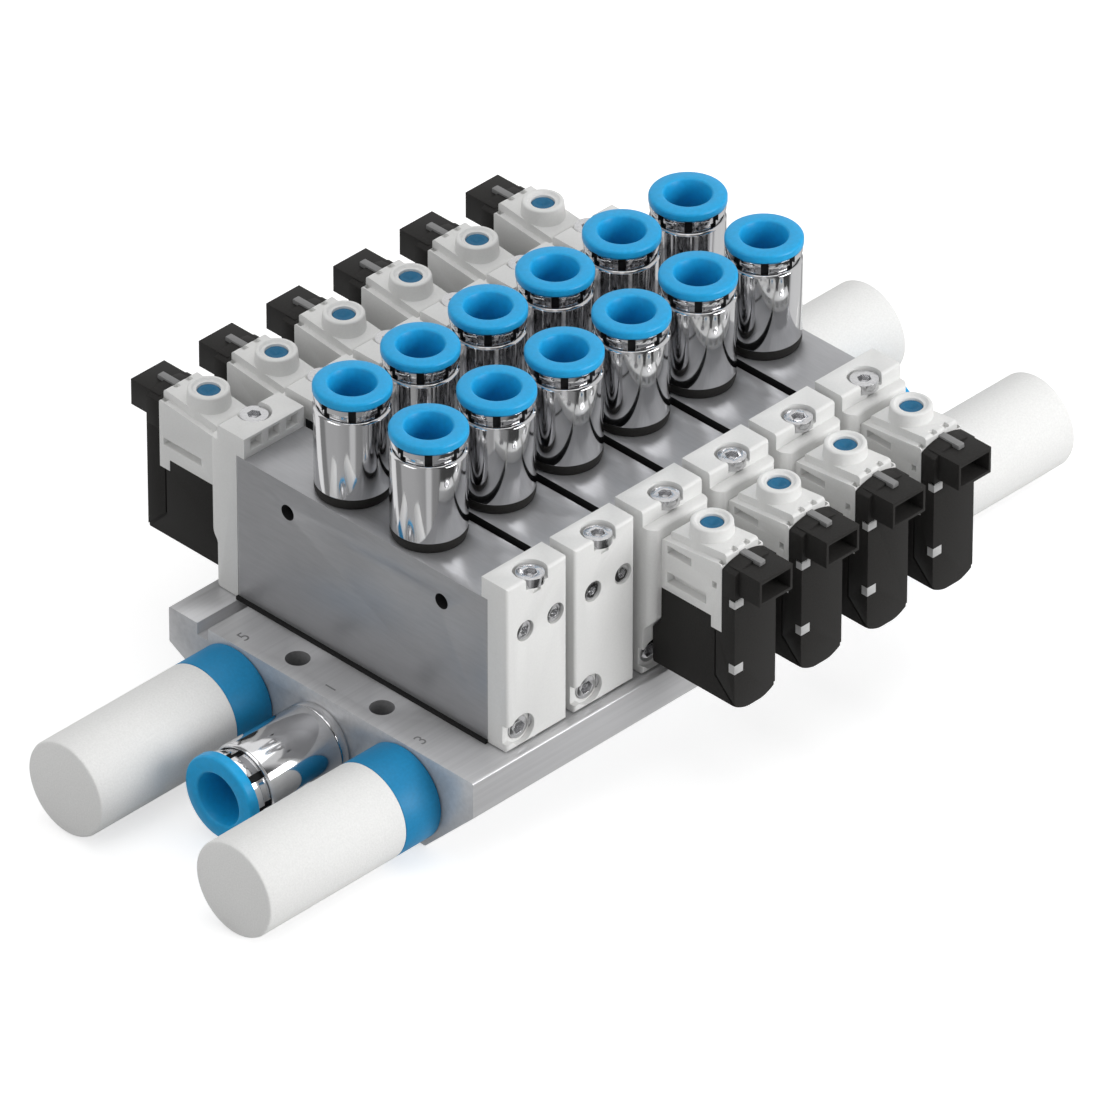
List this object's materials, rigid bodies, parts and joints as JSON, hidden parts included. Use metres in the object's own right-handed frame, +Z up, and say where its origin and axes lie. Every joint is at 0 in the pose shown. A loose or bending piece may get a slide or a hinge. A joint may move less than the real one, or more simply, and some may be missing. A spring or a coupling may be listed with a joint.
{
  "type": "pneumatic valve island",
  "caption": "Row of spool valves on an aluminium supply rail, with push-in tube fittings, pilot valves with solenoid coils, and exhaust silencers at both ends.",
  "frame": {"origin": "middle of the rail's foot, on the face it stands on", "axes": "+X along the rail, +Y to the side where every station has a pilot valve, +Z up"},
  "size_m": [0.2672, 0.1612, 0.0955],
  "materials": {
    "rail_aluminium": "anodised, satin",
    "body_aluminium": "anodised, satin",
    "nickel_brass": "polished",
    "release_ring_blue": "smooth",
    "blue_plastic": "smooth",
    "white_plastic": "fine grained",
    "black_plastic": "fine grained",
    "grey_plastic": "fine grained",
    "porous_plastic": "porous",
    "black_rubber": "matt",
    "steel": "bright",
    "pin_brass": "tinned",
    "spool_aluminium": "turned"
  },
  "bodies": {
    "island": {"manifold_rail": "rail_aluminium", "base_gaskets": "black_rubber", "spool_seals": "black_rubber", "end_caps": "white_plastic", "pilot_adapters": "white_plastic", "top_screws": "steel", "face_screws": "steel", "pilot_housings_14": "white_plastic", "pilot_housings_12": "white_plastic", "solenoid_coils_14": "black_plastic", "solenoid_coils_12": "black_plastic", "armatures": "steel", "contact_pins": "pin_brass", "core_tabs": "steel", "latch_bars": "grey_plastic", "push_in_fittings": "nickel_brass", "supply_fittings": "nickel_brass", "fitting_base_rings": "black_plastic", "tube_o_rings": "black_rubber", "grip_collets": "steel", "silencer_collars": "blue_plastic", "silencer_bodies": "porous_plastic", "return_spring_1": "steel", "return_spring_2": "steel", "valve_body_1": "body_aluminium", "valve_body_2": "body_aluminium", "valve_body_3": "body_aluminium", "valve_body_4": "body_aluminium", "valve_body_5": "body_aluminium", "valve_body_6": "body_aluminium"},
    "release_ring_port2_1": {"release_ring_port2_1": "release_ring_blue"},
    "release_ring_port2_2": {"release_ring_port2_2": "release_ring_blue"},
    "release_ring_port2_3": {"release_ring_port2_3": "release_ring_blue"},
    "release_ring_port2_4": {"release_ring_port2_4": "release_ring_blue"},
    "release_ring_port2_5": {"release_ring_port2_5": "release_ring_blue"},
    "release_ring_port2_6": {"release_ring_port2_6": "release_ring_blue"},
    "release_ring_port4_1": {"release_ring_port4_1": "release_ring_blue"},
    "release_ring_port4_2": {"release_ring_port4_2": "release_ring_blue"},
    "release_ring_port4_3": {"release_ring_port4_3": "release_ring_blue"},
    "release_ring_port4_4": {"release_ring_port4_4": "release_ring_blue"},
    "release_ring_port4_5": {"release_ring_port4_5": "release_ring_blue"},
    "release_ring_port4_6": {"release_ring_port4_6": "release_ring_blue"},
    "supply_release_ring_near": {"supply_release_ring_near": "release_ring_blue"},
    "supply_release_ring_far": {"supply_release_ring_far": "release_ring_blue"},
    "override_plunger_14_1": {"override_plunger_14_1": "blue_plastic"},
    "override_plunger_14_2": {"override_plunger_14_2": "blue_plastic"},
    "override_plunger_14_3": {"override_plunger_14_3": "blue_plastic"},
    "override_plunger_14_4": {"override_plunger_14_4": "blue_plastic"},
    "override_plunger_14_5": {"override_plunger_14_5": "blue_plastic"},
    "override_plunger_14_6": {"override_plunger_14_6": "blue_plastic"},
    "override_plunger_12_3": {"override_plunger_12_3": "blue_plastic"},
    "override_plunger_12_4": {"override_plunger_12_4": "blue_plastic"},
    "override_plunger_12_5": {"override_plunger_12_5": "blue_plastic"},
    "override_plunger_12_6": {"override_plunger_12_6": "blue_plastic"},
    "spool_1": {"spool_1": "spool_aluminium"},
    "spool_2": {"spool_2": "spool_aluminium"},
    "spool_3": {"spool_3": "spool_aluminium"},
    "spool_4": {"spool_4": "spool_aluminium"},
    "spool_5": {"spool_5": "spool_aluminium"},
    "spool_6": {"spool_6": "spool_aluminium"}
  },
  "joints": [
    {"name": "release_ring_port2_1_press", "type": "slide", "parent": "island", "child": "release_ring_port2_1", "axis": [0, 0, -1], "range_m": [0, 0.0016], "stiffness_N_per_m": 2000, "springref_m": -0.001},
    {"name": "release_ring_port2_2_press", "type": "slide", "parent": "island", "child": "release_ring_port2_2", "axis": [0, 0, -1], "range_m": [0, 0.0016], "stiffness_N_per_m": 2000, "springref_m": -0.001},
    {"name": "release_ring_port2_3_press", "type": "slide", "parent": "island", "child": "release_ring_port2_3", "axis": [0, 0, -1], "range_m": [0, 0.0016], "stiffness_N_per_m": 2000, "springref_m": -0.001},
    {"name": "release_ring_port2_4_press", "type": "slide", "parent": "island", "child": "release_ring_port2_4", "axis": [0, 0, -1], "range_m": [0, 0.0016], "stiffness_N_per_m": 2000, "springref_m": -0.001},
    {"name": "release_ring_port2_5_press", "type": "slide", "parent": "island", "child": "release_ring_port2_5", "axis": [0, 0, -1], "range_m": [0, 0.0016], "stiffness_N_per_m": 2000, "springref_m": -0.001},
    {"name": "release_ring_port2_6_press", "type": "slide", "parent": "island", "child": "release_ring_port2_6", "axis": [0, 0, -1], "range_m": [0, 0.0016], "stiffness_N_per_m": 2000, "springref_m": -0.001},
    {"name": "release_ring_port4_1_press", "type": "slide", "parent": "island", "child": "release_ring_port4_1", "axis": [0, 0, -1], "range_m": [0, 0.0016], "stiffness_N_per_m": 2000, "springref_m": -0.001},
    {"name": "release_ring_port4_2_press", "type": "slide", "parent": "island", "child": "release_ring_port4_2", "axis": [0, 0, -1], "range_m": [0, 0.0016], "stiffness_N_per_m": 2000, "springref_m": -0.001},
    {"name": "release_ring_port4_3_press", "type": "slide", "parent": "island", "child": "release_ring_port4_3", "axis": [0, 0, -1], "range_m": [0, 0.0016], "stiffness_N_per_m": 2000, "springref_m": -0.001},
    {"name": "release_ring_port4_4_press", "type": "slide", "parent": "island", "child": "release_ring_port4_4", "axis": [0, 0, -1], "range_m": [0, 0.0016], "stiffness_N_per_m": 2000, "springref_m": -0.001},
    {"name": "release_ring_port4_5_press", "type": "slide", "parent": "island", "child": "release_ring_port4_5", "axis": [0, 0, -1], "range_m": [0, 0.0016], "stiffness_N_per_m": 2000, "springref_m": -0.001},
    {"name": "release_ring_port4_6_press", "type": "slide", "parent": "island", "child": "release_ring_port4_6", "axis": [0, 0, -1], "range_m": [0, 0.0016], "stiffness_N_per_m": 2000, "springref_m": -0.001},
    {"name": "supply_release_ring_near_press", "type": "slide", "parent": "island", "child": "supply_release_ring_near", "axis": [1, 0, 0], "range_m": [0, 0.0016], "stiffness_N_per_m": 2000, "springref_m": -0.001},
    {"name": "supply_release_ring_far_press", "type": "slide", "parent": "island", "child": "supply_release_ring_far", "axis": [-1, 0, 0], "range_m": [0, 0.0016], "stiffness_N_per_m": 2000, "springref_m": -0.001},
    {"name": "override_plunger_14_1_press", "type": "slide", "parent": "island", "child": "override_plunger_14_1", "axis": [0, 0, -1], "range_m": [0, 0.0012], "stiffness_N_per_m": 1500, "springref_m": -0.0008},
    {"name": "override_plunger_14_2_press", "type": "slide", "parent": "island", "child": "override_plunger_14_2", "axis": [0, 0, -1], "range_m": [0, 0.0012], "stiffness_N_per_m": 1500, "springref_m": -0.0008},
    {"name": "override_plunger_14_3_press", "type": "slide", "parent": "island", "child": "override_plunger_14_3", "axis": [0, 0, -1], "range_m": [0, 0.0012], "stiffness_N_per_m": 1500, "springref_m": -0.0008},
    {"name": "override_plunger_14_4_press", "type": "slide", "parent": "island", "child": "override_plunger_14_4", "axis": [0, 0, -1], "range_m": [0, 0.0012], "stiffness_N_per_m": 1500, "springref_m": -0.0008},
    {"name": "override_plunger_14_5_press", "type": "slide", "parent": "island", "child": "override_plunger_14_5", "axis": [0, 0, -1], "range_m": [0, 0.0012], "stiffness_N_per_m": 1500, "springref_m": -0.0008},
    {"name": "override_plunger_14_6_press", "type": "slide", "parent": "island", "child": "override_plunger_14_6", "axis": [0, 0, -1], "range_m": [0, 0.0012], "stiffness_N_per_m": 1500, "springref_m": -0.0008},
    {"name": "override_plunger_12_3_press", "type": "slide", "parent": "island", "child": "override_plunger_12_3", "axis": [0, 0, -1], "range_m": [0, 0.0012], "stiffness_N_per_m": 1500, "springref_m": -0.0008},
    {"name": "override_plunger_12_4_press", "type": "slide", "parent": "island", "child": "override_plunger_12_4", "axis": [0, 0, -1], "range_m": [0, 0.0012], "stiffness_N_per_m": 1500, "springref_m": -0.0008},
    {"name": "override_plunger_12_5_press", "type": "slide", "parent": "island", "child": "override_plunger_12_5", "axis": [0, 0, -1], "range_m": [0, 0.0012], "stiffness_N_per_m": 1500, "springref_m": -0.0008},
    {"name": "override_plunger_12_6_press", "type": "slide", "parent": "island", "child": "override_plunger_12_6", "axis": [0, 0, -1], "range_m": [0, 0.0012], "stiffness_N_per_m": 1500, "springref_m": -0.0008},
    {"name": "spool_1_shift", "type": "slide", "parent": "island", "child": "spool_1", "axis": [0, -1, 0], "range_m": [0, 0.003], "stiffness_N_per_m": 1500, "springref_m": -0.002, "deforming": ["return_spring_1"]},
    {"name": "spool_2_shift", "type": "slide", "parent": "island", "child": "spool_2", "axis": [0, -1, 0], "range_m": [0, 0.003], "stiffness_N_per_m": 1500, "springref_m": -0.002, "deforming": ["return_spring_2"]},
    {"name": "spool_3_shift", "type": "slide", "parent": "island", "child": "spool_3", "axis": [0, -1, 0], "range_m": [0, 0.003]},
    {"name": "spool_4_shift", "type": "slide", "parent": "island", "child": "spool_4", "axis": [0, -1, 0], "range_m": [0, 0.003]},
    {"name": "spool_5_shift", "type": "slide", "parent": "island", "child": "spool_5", "axis": [0, -1, 0], "range_m": [0, 0.003]},
    {"name": "spool_6_shift", "type": "slide", "parent": "island", "child": "spool_6", "axis": [0, -1, 0], "range_m": [0, 0.003]}
  ]
}
